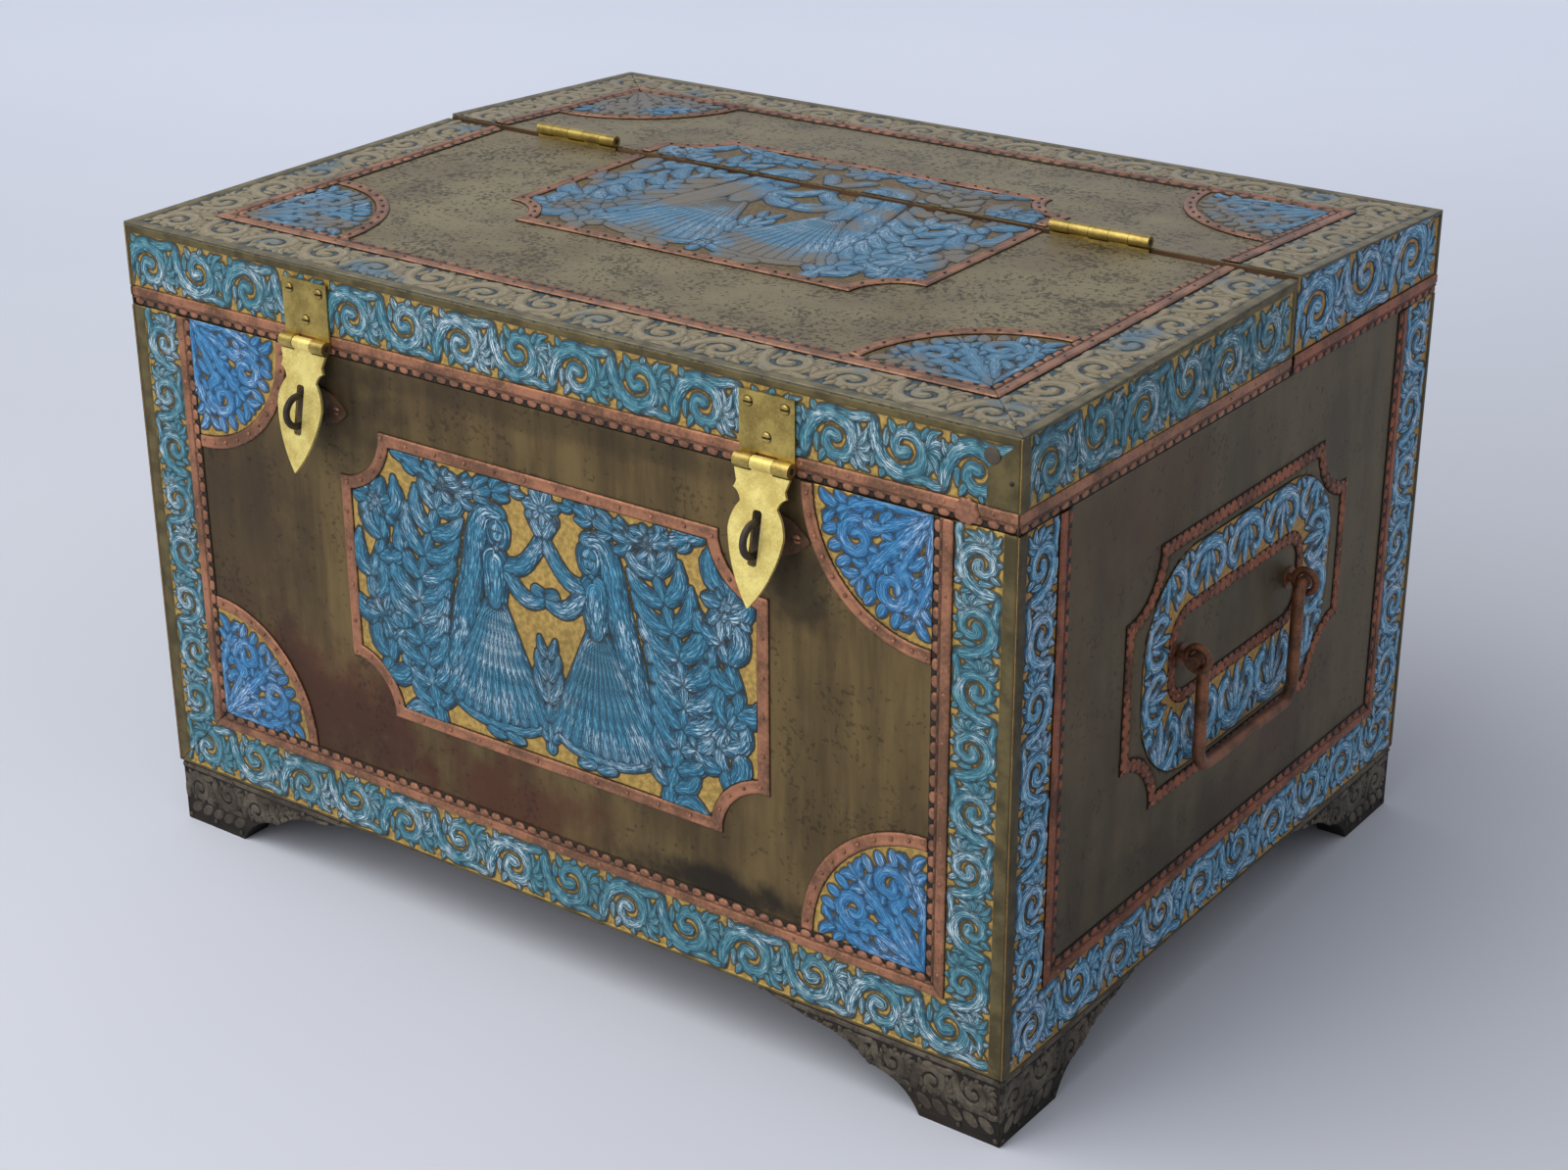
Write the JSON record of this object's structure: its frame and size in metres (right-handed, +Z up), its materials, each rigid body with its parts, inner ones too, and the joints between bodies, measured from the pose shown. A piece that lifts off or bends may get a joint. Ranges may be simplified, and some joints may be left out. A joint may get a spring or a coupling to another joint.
{
  "type": "dowry chest",
  "caption": "Brass-clad wooden dowry chest on bracket feet: a hinged half lid with hasps and staples, painted embossed bands, and a bail handle at each end.",
  "frame": {"origin": "on the floor, in the middle of the ground that the whole chest covers, staples and handles included", "axes": "+X along the chest to its right end as seen from in front, +Y to its back, +Z up"},
  "size_m": [0.7414, 0.558, 0.4636],
  "materials": {
    "wood": "old oiled hardwood, dark with age",
    "brass_sheet": "brushed and tarnished",
    "painted_brass": "embossed, blue paint worn off the high places",
    "copper": "copper sheet, beaded and dull",
    "dark_brass": "dark bronze patina",
    "bright_brass": "newer and rubbed bright",
    "iron": "wrought, dark and slightly rusty",
    "handle_metal": "copper brown, rubbed by hands"
  },
  "bodies": {
    "chest": {"floor_board": "wood", "front_board": "wood", "back_board": "wood", "left_end_board": "wood", "right_end_board": "wood", "rear_top_board": "wood", "hinge_rail": "wood", "rear_left_rim": "wood", "rear_right_rim": "wood", "front_left_foot": "wood", "front_right_foot": "wood", "rear_left_foot": "wood", "rear_right_foot": "wood", "front_sheet": "brass_sheet", "left_end_sheet": "brass_sheet", "right_end_sheet": "brass_sheet", "rear_top_sheet": "brass_sheet", "front_border_bands": "painted_brass", "left_end_border_bands": "painted_brass", "right_end_border_bands": "painted_brass", "rear_top_border_bands": "painted_brass", "front_corner_fans": "painted_brass", "rear_corner_fans": "painted_brass", "front_medallion": "painted_brass", "left_end_medallion": "painted_brass", "right_end_medallion": "painted_brass", "rear_medallion": "painted_brass", "front_copper_strips": "copper", "left_end_copper_strips": "copper", "right_end_copper_strips": "copper", "rear_top_copper_strips": "copper", "foot_sheets": "dark_brass", "hinge_fixed_leaves": "bright_brass", "hinge_pins": "bright_brass", "staple_plates": "bright_brass", "staples": "iron", "left_handle_eyes": "iron", "right_handle_eyes": "iron", "handle_rosettes": "iron"},
    "lid": {"lid_board": "wood", "lid_batten": "wood", "lid_front_rim": "wood", "lid_left_rim": "wood", "lid_right_rim": "wood", "lid_top_sheet": "brass_sheet", "lid_rim_sheets": "brass_sheet", "lid_top_border_bands": "painted_brass", "lid_rim_border_bands": "painted_brass", "lid_top_copper_strips": "copper", "lid_rim_copper_strips": "copper", "lid_corner_fans": "painted_brass", "lid_medallion": "painted_brass", "hinge_lid_leaves": "bright_brass", "hasp_plates": "bright_brass", "hasp_pins": "bright_brass"},
    "left_hasp": {"left_hasp_leaf": "bright_brass"},
    "right_hasp": {"right_hasp_leaf": "bright_brass"},
    "left_bail": {"left_handle": "handle_metal"},
    "right_bail": {"right_handle": "handle_metal"}
  },
  "joints": [
    {"name": "lid_hinge", "type": "hinge", "parent": "chest", "child": "lid", "pos_m": [0, 0.0665, 0.4596], "axis": [-1, 0, 0], "range_deg": [0, 184]},
    {"name": "left_hasp_hinge", "type": "hinge", "parent": "lid", "child": "left_hasp", "pos_m": [-0.1815, -0.2565, 0.3974], "axis": [-1, 0, 0], "range_deg": [0, 165]},
    {"name": "right_hasp_hinge", "type": "hinge", "parent": "lid", "child": "right_hasp", "pos_m": [0.183, -0.2565, 0.3974], "axis": [-1, 0, 0], "range_deg": [0, 165]},
    {"name": "left_handle_hinge", "type": "hinge", "parent": "chest", "child": "left_bail", "pos_m": [-0.3606, 0.0135, 0.2496], "axis": [0, 1, 0], "range_deg": [0, 165]},
    {"name": "right_handle_hinge", "type": "hinge", "parent": "chest", "child": "right_bail", "pos_m": [0.3606, 0.0135, 0.2496], "axis": [0, -1, 0], "range_deg": [0, 165]}
  ]
}
